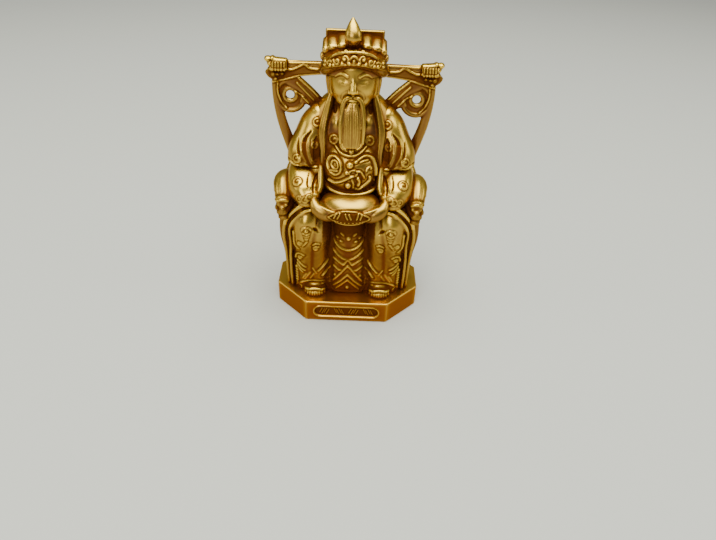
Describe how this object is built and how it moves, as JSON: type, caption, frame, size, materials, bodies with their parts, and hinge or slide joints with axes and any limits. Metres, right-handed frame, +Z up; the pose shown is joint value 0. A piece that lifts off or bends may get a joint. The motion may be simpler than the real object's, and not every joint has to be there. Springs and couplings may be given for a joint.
{
  "type": "caishen figure",
  "caption": "Small gilt cast figure of a seated god of wealth with a winged official's hat, holding an ingot in an armchair on an octagonal plinth.",
  "frame": {"origin": "on the flat underside of the plinth, below the middle of the figure", "axes": "+Z up, -Y the way the figure faces, +X to the right of someone who faces it"},
  "size_m": [0.0646, 0.0464, 0.1209],
  "materials": {
    "gilt": "bright gold plating with dark brown in the recesses",
    "gilt_plinth": "bright gold plating, smooth"
  },
  "bodies": {
    "root": {"figure": "gilt", "plinth": "gilt_plinth"}
  },
  "joints": []
}
